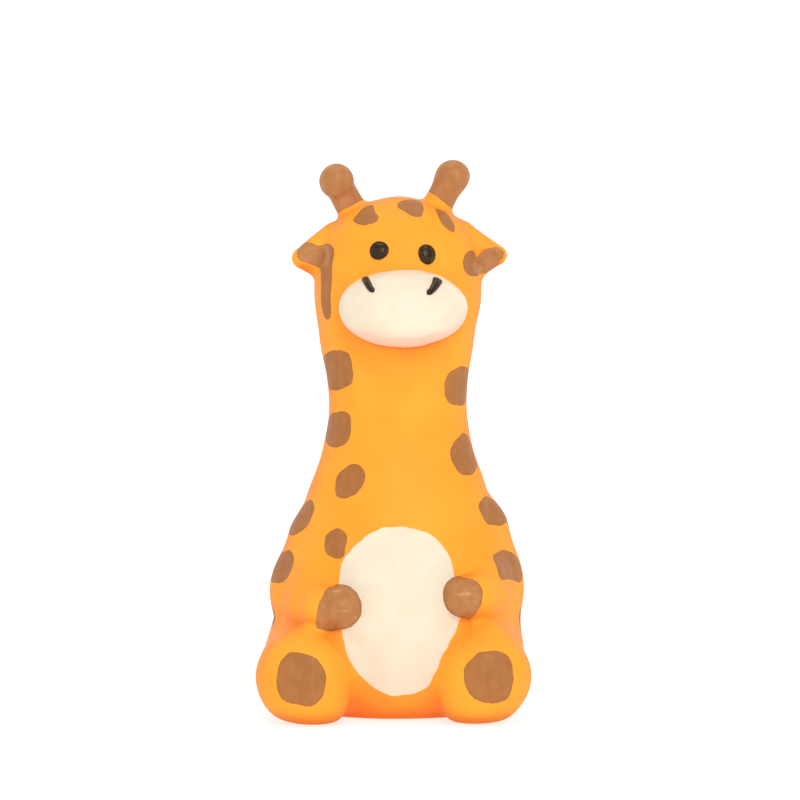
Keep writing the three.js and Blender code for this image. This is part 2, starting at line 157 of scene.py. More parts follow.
DISH = {-1: ((-25.6, -8.5, 131.6), (4.2, 2.7, 2.9)), 1: ((26.4, -7.6, 131.6), (4.3, 2.6, 2.8))}
MUZZLE, MUZZLE_HALF = (0.8, front_at(0, 117.3) + 2, 117.3), (18.3, 13.6, 11)
# How far out a horn stands, its rise, its lean, the radii of stem and knob, how far the knob stands ahead,
# and the fillet under the knob
HORN = {-1: (10.9, 12.3, 6.9, 4.15, 5.1, 2.0, 0.9), 1: (8.8, 13, 7.1, 4.2, 4.2, 0.6, 3)}
HORN_ROOT, HORN_SUNK = 4.5, 5.7  # radius of a horn's root, and how deep it is in the crown

# Radii of the limbs at their places
HIP_RADIUS, FOOT_RADIUS, BALL_RADIUS = 13.5, 13.9, 7.2
SHOULDER_RADIUS, ELBOW_RADIUS, WRIST_RADIUS, CUFF_RADIUS = 8.2, 9.4, 5.4, 5.3  # the hand begins in the cuff
HAND_RADIUS = {s: 5.8 - 0.2 * s for s in SIDES}
EAR_RADII = {s: (4.25 + 0.25 * s, 3.4, 2.6 + 0.2 * s) for s in SIDES}  # of root, middle and lobe
EAR_DISHED = 1.2  # how much thinner the middle of an ear is at the tip

# Fillets and the casting's wall
FOOT_FILLET, ELBOW_FILLET, WRIST_FILLET, LEAF_FILLET, SOLE_EDGE = 5, 5, 1.5, 1.5, 4
EAR_FILLET, HORN_FILLET, MUZZLE_FILLET, DISH_EDGE, BASE_EDGE = 2, 1.8, 0.8, 0.8, 1.6
WALL, CHAMBER_FLOOR = 2.4, 4.2


def trunk(p):
    """An ellipse at each level, with a dome on top. The neck leans a little to the left."""
    w, m, d = level(p[..., 2])
    x = p[..., 0] + LEAN * hump(p[..., 2], LEAN_HEIGHT, LEAN_REACH)
    y, z = p[..., 1] - m, np.maximum(p[..., 2] - BROW, 0)
    k = np.sqrt((x / w) ** 2 + (y / d) ** 2 + (z / CROWN) ** 2)
    steep = np.sqrt((x / w**2) ** 2 + (y / d**2) ** 2 + (z / CROWN**2) ** 2)
    return k * (k - 1) / np.maximum(steep, 1e-6)


def legs(p):
    """Thighs and feet. The sole of each foot is pressed a little flat."""
    made = []
    for s in SIDES:
        thigh = limb(p, HIP[s], FOOT[s], HIP_RADIUS, FOOT_RADIUS)
        made.append(blend(thigh, ball(p, BALL[s], BALL_RADIUS), FOOT_FILLET))
    return carve(np.minimum(*made), p[..., 1] - SOLE_FRONT, SOLE_EDGE)


def arms(p):
    """Upper arms, forearms that narrow to the wrist, and rounded hands without fingers."""
    made = []
    for s in SIDES:
        upper = limb(p, SHOULDER[s], ELBOW[s], SHOULDER_RADIUS, ELBOW_RADIUS)
        fore = limb(p, ELBOW[s], WRIST[s], ELBOW_RADIUS, WRIST_RADIUS)
        hand = limb(p, WRIST[s], HAND[s], CUFF_RADIUS, HAND_RADIUS[s])
        made.append(blend(blend(upper, fore, ELBOW_FILLET), hand, WRIST_FILLET))
    return np.minimum(*made)


def horns(p):
    """Two stems that lean outwards, each with a knob at its end that stands a little ahead of it."""
    made = []
    for s, (out, rise, lean, stem, knob, ahead, fillet) in HORN.items():
        crown_half = TRUNK[-1, 1]
        root = np.array((out * s, 1, BROW + CROWN * math.sqrt(1 - (out / crown_half) ** 2) - HORN_SUNK))
        top = root + (lean * s, 0, rise)
        made.append(blend(limb(p, root, top, HORN_ROOT, stem), ball(p, top - (0, ahead, 0), knob), fillet))
    return np.minimum(*made)


def ears(p):
    """Leaves that droop outwards, each made of three limbs that meet at its tip."""
    made = []
    for s in SIDES:
        (tip, end), (root, between, lobe) = EAR_TIP[s], EAR_RADII[s]
        upper = limb(p, EAR_ROOT[s], tip, root, end)
        middle = limb(p, EAR_MIDDLE[s], tip, between, end - EAR_DISHED)
        lower = limb(p, EAR_LOBE[s], tip, lobe, end)
        made.append(blend(np.minimum(upper, lower), middle, LEAF_FILLET))
    return np.minimum(*made)


def muzzle(p):
    """The cream muzzle, half sunk in the face."""
    return ellipsoid(p, MUZZLE, MUZZLE_HALF)


def lumps(p):
    """The slight unevenness of a form that was carved by hand: three waves, 11 to 26 mm long."""
    x, y, z = (p[..., n] for n in range(3))
    return (0.10 * np.sin(0.31 * x + 0.17 * z + 1) * np.sin(0.24 * z - 0.12 * y)
            + 0.07 * np.sin(0.47 * x - 0.35 * y + 0.2 * z) + 0.05 * np.sin(0.5 * z + 0.41 * y + 2))


def seated(p):
    """Trunk, legs and arms. The creases are sharp round the hands and soften towards the elbows, and more so
    in front and on the right."""
    t, a, l = trunk(p), arms(p), legs(p)
    aside, ahead, right = np.abs(p[..., 0]), share(-p[..., 1], 10, 10), p[..., 0] > 0
    outer, soft = share(aside, 19, 9), share(aside, 17, 8) * ahead
    lap = np.where(right, share(p[..., 0], 14, 6) * ahead, 0.25 * soft)
    hips, shoulders = 5 + 6 * soft * np.where(right, 1, 0.4), 1 + 4 * outer + 7 * soft
    near = np.minimum(blend(t, l, hips), blend(t, a, shoulders))
    under_hand = np.where(right, soft, 0) * hump(p[..., 2], 31, 6)
    return blend(near, blend(a, l, 1.4 + 3 * outer + 7 * lap), 0.01 + 3 * under_hand)


def skin(p):
    """The outside of the casting. Each ear has a scoop in its front, and the base is flat."""
    head = blend(blend(seated(p), ears(p), EAR_FILLET), horns(p), HORN_FILLET)
    for centre, half in DISH.values():
        head = carve(head, ellipsoid(p, centre, half), DISH_EDGE)
    return carve(blend(head, muzzle(p), MUZZLE_FILLET) + lumps(p), p[..., 2], BASE_EDGE)


def hollow(p):
    """The inside of the casting, a wall's thickness in. Horns and ears are solid latex."""
    return np.maximum(blend(seated(p), muzzle(p), MUZZLE_FILLET) + WALL, CHAMBER_FLOOR - p[..., 2])


def slope_of(form, p, reach=0.04):
    """The unit direction in which a form's distance grows."""
    g = np.stack([form(p + reach * e) - form(p - reach * e) for e in np.eye(3)], -1)
    return g / np.maximum(length(g), 1e-9)[..., None]


# Meshing


def net(form, low, high, step):
    """The closed surface where form is 0: one point in each grid cell that it crosses, slid onto it along
    its slope, and one quad for each grid line that it crosses."""
    lines = [np.arange(low[n], high[n] + step, step) for n in range(3)]
    grid = np.stack(np.meshgrid(*lines, indexing="ij"), -1)
    values = form(grid.reshape(-1, 3)).reshape(grid.shape[:3])
    values[values == 0] = 1e-9
    full = values < 0
    changed = True
    while changed:  # where only two opposite corners of a grid square are full, a third is filled
        changed = False
        for a, b in ((0, 1), (1, 2), (2, 0)):
            f = np.moveaxis(full, (a, b), (0, 1))
            v = np.moveaxis(values, (a, b), (0, 1))
            pinch = (f[:-1, :-1] == f[1:, 1:]) & (f[1:, :-1] == f[:-1, 1:]) & (f[:-1, :-1] != f[1:, :-1])
            if pinch.any():
                changed = True
                i, j, k = np.nonzero(pinch)
                i = i + f[i, j, k]
                v[i, j, k] = -1e-3
                f[i, j, k] = True
    cells = tuple(n - 1 for n in full.shape)
    total, place = np.zeros(cells), np.zeros(cells + (3,))
    for axis in range(3):
        f, v = np.moveaxis(full, axis, 0), np.moveaxis(values, axis, 0)
        cross = f[:-1] != f[1:]
        part = np.where(cross, v[:-1] / np.where(cross, v[:-1] - v[1:], 1), 0)
        cross, part = np.moveaxis(cross, 0, axis), np.moveaxis(part, 0, axis)
        b, c = (axis + 1) % 3, (axis + 2) % 3
        for db, dc in ((0, 0), (0, 1), (1, 0), (1, 1)):
            pick = [slice(0, cells[0]), slice(0, cells[1]), slice(0, cells[2])]
            pick[b] = slice(db, db + cells[b])
            pick[c] = slice(dc, dc + cells[c])
            hit = cross[tuple(pick)]
            total += hit
            place[..., axis] += part[tuple(pick)] * hit
            place[..., b] += db * hit
            place[..., c] += dc * hit
    used = total > 0
    at = np.stack(np.nonzero(used), -1)
    points = np.array(low) + (at + place[used] / total[used][:, None]) * step
    number = np.full(cells, -1)
    number[used] = np.arange(len(points))
    quads = []
    for axis in range(3):
        b, c = (axis + 1) % 3, (axis + 2) % 3
        f = np.moveaxis(full, (axis, b, c), (0, 1, 2))
        n = np.moveaxis(number, (axis, b, c), (0, 1, 2))
        i, j, k = np.nonzero(f[:-1, 1:-1, 1:-1] != f[1:, 1:-1, 1:-1])
        loop = np.stack([n[i, j, k], n[i, j + 1, k], n[i, j + 1, k + 1], n[i, j, k + 1]], -1)
        inward = ~f[:-1, 1:-1, 1:-1][i, j, k]
        loop[inward] = loop[inward][:, ::-1]
        quads.append(loop)
    for _ in range(4):
        g = np.stack([form(points + 0.02 * e) - form(points - 0.02 * e) for e in np.eye(3)], -1) / 0.04
        move = -form(points)[:, None] * g / np.maximum((g * g).sum(-1), 0.2)[:, None]
        far = length(move)[:, None]
        points = points + move * np.minimum(1, 0.5 * step / np.maximum(far, 1e-9))
    return points, np.concatenate(quads)


def piece(name, points, faces, smooth=True):
    """A Blender object from points in millimetres in the casting's frame."""
    if isinstance(faces, np.ndarray):
        faces = faces.tolist()
    mesh = bpy.data.meshes.new(name)
    mesh.from_pydata(((np.asarray(points) + SHIFT) / 1000).tolist(), [], faces)
    mesh.update()
    if smooth:
        mesh.shade_smooth()
    else:
        mesh.shade_flat()
    made = bpy.data.objects.new(name, mesh)
    bpy.context.scene.collection.objects.link(made)
    return made


def around_once(count):
    """Evenly spaced angles of a full turn."""
    return np.arange(count) * 2 * math.pi / count


def capped(name, start, rows, end):
    """A closed tube through rows of points, each row a ring, that shuts at a start and an end point."""
    count, around = rows.shape[:2]
    n = np.arange(around)
    m = (n + 1) % around
    first, last = np.zeros_like(n), np.full_like(n, 1 + count * around)
    a = 1 + np.arange(count - 1)[:, None] * around
    b = 1 + (count - 1) * around
    sides = np.stack([a + n, a + m, a + around + m, a + around + n], -1).reshape(-1, 4)
    ends = np.concatenate([np.stack([first, 1 + m, 1 + n], -1), np.stack([last, b + n, b + m], -1)])
    points = np.concatenate([[start], rows.reshape(-1, 3), [end]])
    return piece(name, points, ends.tolist() + sides.tolist())


def turned(name, profile, around=96):
    """A closed profile of [radius, height] points, whose ends lie on the axis, turned about it."""
    angle = around_once(around)
    radius, height = np.array(profile[1:-1], float).T[..., None]
    rows = np.stack([radius * np.cos(angle), radius * np.sin(angle), height + 0 * angle], -1)
    return capped(name, (0, 0, profile[0][1]), rows, (0, 0, profile[-1][1]))


def block(low, high):
    """A closed box."""
    corners = [[(low, high)[(n >> a) & 1][a] for a in range(3)] for n in range(8)]
    faces = [(0, 2, 3, 1), (4, 5, 7, 6), (0, 1, 5, 4), (2, 6, 7, 3), (0, 4, 6, 2), (1, 3, 7, 5)]
    return piece("tool", corners, faces, smooth=False)


def places(obj):
    """The vertices of an object in the casting's frame, in millimetres."""
    co = np.empty(len(obj.data.vertices) * 3)
    obj.data.vertices.foreach_get("co", co)
    return co.reshape(-1, 3) * 1000 - SHIFT


def cut(obj, tool, way):
    """A boolean between two closed meshes, applied at once."""
    change = obj.modifiers.new("cut", "BOOLEAN")
    change.operation, change.solver, change.object = way, "MANIFOLD", tool
    done = bpy.data.meshes.new_from_object(obj.evaluated_get(bpy.context.evaluated_depsgraph_get()))
    obj.modifiers.clear()
    old, obj.data = obj.data, done
    bpy.data.meshes.remove(old)
    done.name = obj.name
    bpy.data.objects.remove(tool)


# Paint: distances on the surface, negative where a colour lies

FAR = 20.0  # farther from a colour than its edge reaches
HEAD_LEVEL, HORN_LEVEL = 100, 138  # above these heights the paint is the head's, and the horns'
SOLES_AHEAD, HANDS_AHEAD, EARS_AHEAD, BELLY_AHEAD = -28, -18, -1.5, -10  # the paint stays ahead of this y


def outline(u, v, knots):
    """Distance to a smooth closed curve through knots: a Catmull-Rom spline, as six short lines a span."""
    b = np.array(knots, float)
    a, c, d = np.roll(b, 1, 0), np.roll(b, -1, 0), np.roll(b, -2, 0)
    t = np.arange(6)[:, None, None] / 6
    curve = b + t / 2 * (c - a + t * (2 * a - 5 * b + 4 * c - d + t * (3 * (b - c) + d - a)))
    curve = curve.transpose(1, 0, 2).reshape(-1, 2)
    best, inside = np.full(u.shape, 1e9), np.zeros(u.shape, bool)
    for (ax, ay), (bx, by) in zip(curve, np.roll(curve, -1, 0)):
        dx, dy = bx - ax, by - ay
        t = np.clip(((u - ax) * dx + (v - ay) * dy) / (dx * dx + dy * dy), 0, 1)
        best = np.minimum(best, np.hypot(u - ax - t * dx, v - ay - t * dy))
        if dy:
            inside ^= ((ay > v) != (by > v)) & (u < ax + (v - ay) * dx / dy)
    return np.where(inside, -best, best)


# Patches round the trunk: the angle from the front in degrees, the height, and knots across and up from there
PATCHES = [
    (-56, 99.5, [(-12, 1.5), (-9, 3.5), (-4, 5), (1, 5.5), (4, 4.5), (4.5, 1), (4, -3.5), (1.5, -5),
                 (-3, -6), (-9, -6), (-12.5, -3)]),
    (-58, 82.5, [(-11, 1), (-8, 3), (-3, 4.5), (1, 5), (3.5, 3.5), (4, 0), (3.5, -3.5), (1, -5),
                 (-3, -5.5), (-8, -4.5), (-11.5, -2)]),
    (-39.3, 67.9, [(-4.5, 2.5), (-1.5, 4.5), (2, 4.5), (4.5, 2.5), (4.5, -1), (2.5, -3.5), (-0.5, -5),
                   (-3.5, -4.5), (-5, -2.5), (-5.5, 0)]),
    (53, 94.5, [(11, 4), (6, 5.5), (1.5, 5.5), (-2, 4), (-3.5, 1.5), (-3, -2.5), (-1.5, -4.5), (2, -5.5),
                (7, -5.5), (11.5, -3.5), (12, 0.5)]),
    (57, 74.5, [(6, 6), (2, 6), (-2, 4), (-4.5, 1.5), (-4, -2), (-2, -5), (1.5, -5.5), (5.5, -4.5),
                (9.5, -2), (9.5, 3)]),
    (-75, 56, [(1.5, 5.5), (4.5, 3.5), (4.5, 0.5), (3, -2), (0.5, -4), (-2.5, -5), (-6.5, -4.5),
               (-8.5, -1), (-6, 3), (-2, 5)]),
    (-41, 50.3, [(-1.5, 4), (1, 4), (3.5, 2.5), (4, -1), (3.5, -3.5), (1, -4), (-2.5, -3), (-4, -0.5),
                 (-4, 2.5)]),
    (-73.4, 42.5, [(-2.5, 4.5), (0.5, 4), (3, 2), (4.5, -1), (4, -3), (1.5, -4.5), (-3, -5), (-8, -4.5),
                   (-10.5, -1), (-8, 2.5)]),
    (70, 57.9, [(-4.5, 2.5), (-1.5, 4), (3, 4.5), (7.5, 3), (10.5, 0), (9, -3), (4, -4), (-1, -3.5),
                (-3.5, -2.5), (-4.5, 0)]),
    (65, 42.5, [(-8.3, -2.2), (-7.6, 1), (-5.2, 3.7), (0.5, 4.6), (5.5, 4.2), (9.5, 1.5), (10, -3.4),
                (6.5, -5), (2, -4.1), (-3, -3), (-6.5, -2.9)]),
    (-62.2, 124.5, [(-3.5, 10.5), (1, 10.5), (3.5, 8.5), (3.5, 4.5), (2.5, -3), (2, -8.5), (0.5, -10.7),
                    (-1.6, -10.4), (-2.7, -8.5), (-3, -5), (-2.5, 0), (-3, 5)]),
    (62, 130, [(0, 3.5), (2.5, 3), (5, 0.5), (5, -3), (2, -4), (-2, -3.5), (-4.5, -2), (-5, 0),
               (-3.5, 2.5)]),
]
# Patches on the flanks and the back, which the photograph doesn't show: angle, height, half width, half
# height, tilt
UNSEEN = [
    (-94, 27, 8.2, 5.6, 0), (91, 26.5, 8.6, 5.4, 0), (-128, 104, 5.6, 6.6, 8), (172, 110, 5.4, 5.0, 0),
    (128, 101, 5.2, 6.4, -14), (-164, 91, 6.0, 6.6, -10), (148, 83, 5.6, 6.0, 16), (-126, 76, 5.4, 5.8, 12),
    (-170, 69, 6.4, 5.4, -6), (122, 66, 6.2, 5.8, -18), (-140, 56, 6.6, 6.0, 20), (160, 53, 6.6, 6.8, 8),
    (118, 45, 5.8, 5.4, 0), (-158, 37, 7.2, 6.2, -14), (136, 31, 6.6, 6.8, 12), (178, 22, 6.8, 5.6, 6),
    (-128, 15, 6.2, 5.4, -8), (134, 11, 6.0, 4.8, 10), (-150, 126, 5.6, 5.8, 14), (140, 125, 5.8, 5.4, -10),
    (-99, 112, 4.0, 5.0, -12), (98, 116, 4.6, 5.2, 10),
]
# Patches on the crown: a point on it, then knots across and up in the plane that touches it there
CROWN_PATCHES = [
    ((-9.3, -12.2, 143.6), [(-4, -1.5), (-3.8, 2), (-3.2, 5.5), (-1, 5.5), (2, 1.5), (4, -0.5),
                            (3.5, -3), (1, -4), (-1.5, -3.5)]),
    ((3.4, -10.5, 146.2), [(-4, 0), (-3, 2.5), (-1.5, 4), (1, 5), (3.5, 5), (4, 3), (3.3, -1),
                           (1.5, -5.5), (-1.5, -5), (-3, -2.5)]),
    ((13.7, -10.7, 142.1), [(0, 5.5), (2, 5), (3.5, 3.5), (2, -1.5), (0.5, -3.5), (-0.5, -4.5),
                            (-2, -3.5), (-3, -1.5), (-2.5, 1.5)]),
    ((-12, 9, 143.6), [(4.5, 0), (3, 3.5), (-1, 4), (-4.5, 1.5), (-4, -2.5), (1, -4)]),
    ((10, 13, 142.4), [(4, 1), (1.5, 4.5), (-3, 3.5), (-4.5, -1), (-1, -4.5), (3, -3)]),
    ((0, 2, 149), [(3.5, 0.5), (1.5, 4.5), (-2.5, 3.5), (-3.5, -1.5), (0, -4.5), (3, -3)]),
]
# Patches as they look from the front: knots in x and z
SOLES = [
    [(-32.4, 20.8), (-28, 21.2), (-24, 19.5), (-21.5, 15), (-22, 10.5), (-24.5, 6.7), (-29, 6.6),
     (-33.3, 8.1), (-35.1, 11.5), (-35, 16.5)],
    [(21.2, 20.9), (26, 21.5), (29.5, 20.3), (30.9, 17.3), (30.8, 11), (28.7, 7.5), (24.5, 6.9),
     (20, 8.3), (17.4, 12.5), (17.5, 17)]]
HANDS = [
    [(-22.3, 36.6), (-20.8, 38.3), (-17.8, 39.3), (-14, 41), (-11, 40.5), (-9.5, 33), (-12, 26),
     (-17, 26.2), (-21, 26.2), (-23.9, 27.3), (-24.2, 30.3), (-23.4, 34)],
    [(11, 40), (14.5, 41.3), (20, 41), (22.7, 38.6), (22.5, 34.5), (20, 30), (16.5, 29.4), (11, 31),
     (10, 36)]]
EAR_PATCHES = [
    [(-29.4, 132.7), (-28.9, 134), (-26.4, 136), (-23.3, 134.9), (-20.4, 134.7), (-20.3, 130),
     (-22.7, 128.8), (-25.5, 129.7), (-28.2, 130.4), (-29, 131.3)],
    [(23.5, 132.5), (24.9, 133.8), (27.9, 134.5), (30, 133.3), (30, 131.5), (28.7, 129.5),
     (26.9, 127.6), (23.5, 126.8), (21.5, 128.2), (21.4, 130.6)]]
BELLY = [
    (-1, 55.5), (-7, 54.5), (-12.5, 50.5), (-16.5, 45.5), (-17.5, 40), (-17.5, 30), (-16.5, 24), (-14, 17),
    (-9, 11), (-4, 8), (1.5, 8), (6.5, 9.5), (9, 13.5), (11.5, 19.5), (16, 27.5), (17, 34), (15, 41.5),
    (14, 46.5), (10, 52), (5, 54.5)]
# The lower edge of the paint on each horn: a point on it, and the direction up the horn
HORN_PAINT = {-1: ((-13.2, 146.6), (-0.47, 0.88)), 1: ((12, 148.2), (0.58, 0.815))}


def waver(p, size):
    """A brush line's small wander, in millimetres."""
    x, y, z = (p[:, n] for n in range(3))
    ripple = np.sin(1.9 * z - 1.3 * y + 1) * np.sin(1.4 * x + 2)
    return size * (np.sin(1.1 * x + 0.7 * z + 0.4 * y) + 0.7 * ripple)


def unseen_knots(n, half, tall, tilt):
    """Eight knots of an uneven oval, tilted by some degrees. Each number n gives another unevenness."""
    a = around_once(8)
    far = 1 + 0.08 * np.sin(2 * a + n) + 0.06 * np.sin(3 * a + 2.3 * n)
    u, v = half * far * np.cos(a), tall * far * np.sin(a)
    c, s = math.cos(math.radians(tilt)), math.sin(math.radians(tilt))
    return np.stack([u * c - v * s, u * s + v * c], -1)


def patches(p):
    """Distance to the patches on the trunk and the crown."""
    x, y, z = (p[:, n] for n in range(3))
    turn = np.degrees(np.arctan2(x, level(z)[1] - y))
    best = np.full(len(p), FAR)
    drawn = [(angle, height, unseen_knots(n, *sizes)) for n, (angle, height, *sizes) in enumerate(UNSEEN)]
    for angle, height, knots in PATCHES + drawn:
        across = np.radians((turn - angle + 180) % 360 - 180) * float(level(height)[0])
        near = (np.abs(across) < 16) & (np.abs(z - height) < 16) & (z < BROW + 12)
        best[near] = np.minimum(best[near], outline(across[near], z[near] - height, knots))
    for centre, knots in CROWN_PATCHES:
        out = slope_of(trunk, np.array([centre], float))[0]
        across = np.cross((0, 0, 1), out)
        across /= length(across)
        q = p - np.array(centre)
        near = length(q) < 12
        best[near] = np.minimum(best[near], outline(q[near] @ across, q[near] @ np.cross(out, across), knots))
    return best


def brown(p):
    """Distance to the brown paint, and how thick it lies: 1 on the hands, 0.85 on the ears, 0.65 on the horns
    and 0 elsewhere."""
    x, y, z = (p[:, n] for n in range(3))
    horn = horns(p)
    thin = np.maximum(patches(p), np.where(z > HEAD_LEVEL, 0.8 - horn, -FAR))
    for knots in SOLES:
        thin = np.minimum(thin, np.maximum(outline(x, z, knots), y - SOLES_AHEAD))
    thick = np.full(len(p), FAR)
    on_arm = np.maximum(arms(p) - trunk(p) - 0.3, arms(p) - legs(p) + 0.3)
    for knots in HANDS:
        hand = np.maximum(outline(x, z, knots), on_arm)
        thick = np.minimum(thick, np.maximum(hand, y - HANDS_AHEAD))
    for knots in EAR_PATCHES:
        thick = np.minimum(thick, np.maximum(outline(x, z, knots), y - EARS_AHEAD))
    for s, ((ox, oz), (nx, nz)) in HORN_PAINT.items():
        edge = (ox - x) * nx + (oz - z) * nz
        thick = np.minimum(thick, np.maximum(np.maximum(edge, horn - 1.2), -x * s))
    most = np.where(z > HORN_LEVEL, 0.65, np.where(z > HEAD_LEVEL, 0.85, 1))
    return np.minimum(thin, thick) + waver(p, 0.1), np.clip(0.5 - thick, 0, 1) * most


def cream(p):
    """Distance to the cream paint of the belly and muzzle."""
    x, z = p[:, 0], p[:, 2]
    belly = np.maximum(outline(x, z, BELLY), p[:, 1] - BELLY_AHEAD)
    belly = np.maximum(belly, trunk(p) - arms(p) - 0.3)
    face = np.where(z > HEAD_LEVEL, muzzle(p) - blend(seated(p), ears(p), EAR_FILLET) + 0.1, FAR)
    return np.minimum(belly + waver(p, 0.1), face + waver(p, 0.06))


def muzzle_shade(p):
    """Above 0 in the band under the muzzle where shade is painted, wavy at its upper edge."""
    x, z = p[:, 0], p[:, 2]
    round_edge = 9.1 * (np.hypot((x - 0.3) / 18.6, (z - 118.4) / 9.1) - 1)
    return np.where((z > HEAD_LEVEL) & (z < 117), round_edge + 0.3 * np.sin(0.7 * x + 1.5), -2)


def recess(p, out, reach):
    """The share of the air near each place that the toy takes up: a mean of eight looks, 60 degrees off the
    normal."""
    side = np.cross(out, (0.3, 0.2, 0.93))
    side /= np.maximum(length(side), 1e-6)[:, None]
    other = np.cross(out, side)
    taken = np.zeros(len(p))
    for a in around_once(8):
        look = 0.5 * out + 0.866 * (side * math.cos(a) + other * math.sin(a))
        taken += np.clip(1 - skin(p + look * reach) / (reach / 2), 0, 1) / 8
    return taken


def hold(mesh, name, values):
    """Keeps one value or one vector for each vertex as an attribute of the mesh."""
    kind = "FLOAT_VECTOR" if values.ndim == 2 else "FLOAT"
    kept = mesh.attributes.new(name, kind, "POINT")
    key = "vector" if kind == "FLOAT_VECTOR" else "value"
    kept.data.foreach_set(key, values.astype(np.float32).ravel())


def dress(obj):
    """Smooth normals from the form itself, flat ones on cut faces, and the paint of a piece of the skin."""
    mesh = obj.data
    p = places(obj)
    out = slope_of(skin, p)
    count = len(mesh.polygons)
    normals, centres = np.empty(count * 3), np.empty(count * 3)
    mesh.polygons.foreach_get("normal", normals)
    mesh.polygons.foreach_get("center", centres)
    normals, centres = normals.reshape(-1, 3), centres.reshape(-1, 3) * 1000 - SHIFT
    outer = (np.abs(skin(centres)) < 0.15) & ((slope_of(skin, centres) * normals).sum(-1) > 0.5)
    sizes = np.empty(count, int)
    mesh.polygons.foreach_get("loop_total", sizes)
    corner = np.empty(len(mesh.loops), int)
    mesh.loops.foreach_get("vertex_index", corner)
    face = np.repeat(np.arange(count), sizes)
    mesh.shade_smooth()
    mesh.normals_split_custom_set(np.where(outer[face][:, None], out[corner], normals[face]).tolist())
    dark, thick = brown(p)
    # How strong the painted shade on undersides is: weaker beside the ears and round the arms.
    by_ears = 0.35 * share(np.abs(p[:, 0]), 18, 4) * (p[:, 2] > HEAD_LEVEL)
    by_arms = 0.55 * hump(p[:, 2], 31, 8)
    under = np.clip(-out[:, 2], 0, 1) * (1 - by_ears - by_arms)
    # The crease, shade and aside attributes, and the band under the muzzle, only set where shade is painted.
    for name, values in (
        ("rest", p), ("brown", dark), ("thick", thick), ("cream", cream(p)), ("muzzle_shade", muzzle_shade(p)),
        ("crease", np.clip(1 - skin(p + out * 4) / 4, 0, 1)),
        ("shade", under * (recess(p, out, 12) + recess(p, out, 20))),
        ("aside", 1 - np.abs(out[:, 1])),
    ):
        hold(mesh, name, values)
    return obj


# Materials

ORANGE, ORANGE_LIGHT = (0.94, 0.345, 0.029, 1), (0.96, 0.38, 0.034, 1)
# Painted shade in orange: redder where the skin turns aside, in creases and on undersides, and a painted
# shadow just above the floor.
ORANGE_SHADED_ASIDE, ORANGE_CREASE_SHADE = (0.99, 0.235, 0.026, 1), (0.98, 0.20, 0.022, 1)
ORANGE_UNDER_SHADE, ORANGE_FLOOR_SHADOW = (0.98, 0.14, 0.016, 1), (0.66, 0.12, 0.011, 1)
CREAM, CREAM_LIGHT = (0.805, 0.68, 0.515, 1), (0.835, 0.72, 0.56, 1)
# Painted shade in cream: warmer and darker low on the belly, on undersides and in the band under the muzzle.
CREAM_LOW_SHADE, CREAM_UNDER_SHADE, CREAM_SHADE_UNDER_MUZZLE = (0.84, 0.60, 0.45, 1), (0.84, 0.52, 0.36, 1), (0.85, 0.60, 0.47, 1)
BROWN, BROWN_LIGHT = (0.37, 0.145, 0.042, 1), (0.42, 0.163, 0.049, 1)
TAN, TAN_LIGHT = (0.428, 0.179, 0.063, 1), (0.49, 0.213, 0.079, 1)
# The streak colour is a painted highlight, laid in streaks across the hands.
HAND_HIGHLIGHT, BROWN_RIM = (0.66, 0.36, 0.18, 1), (0.34, 0.095, 0.02, 1)
ENAMEL, ENAMEL_LIGHT = (0.020, 0.009, 0.004, 1), (0.036, 0.018, 0.008, 1)
WHITE = (1, 1, 1, 1)


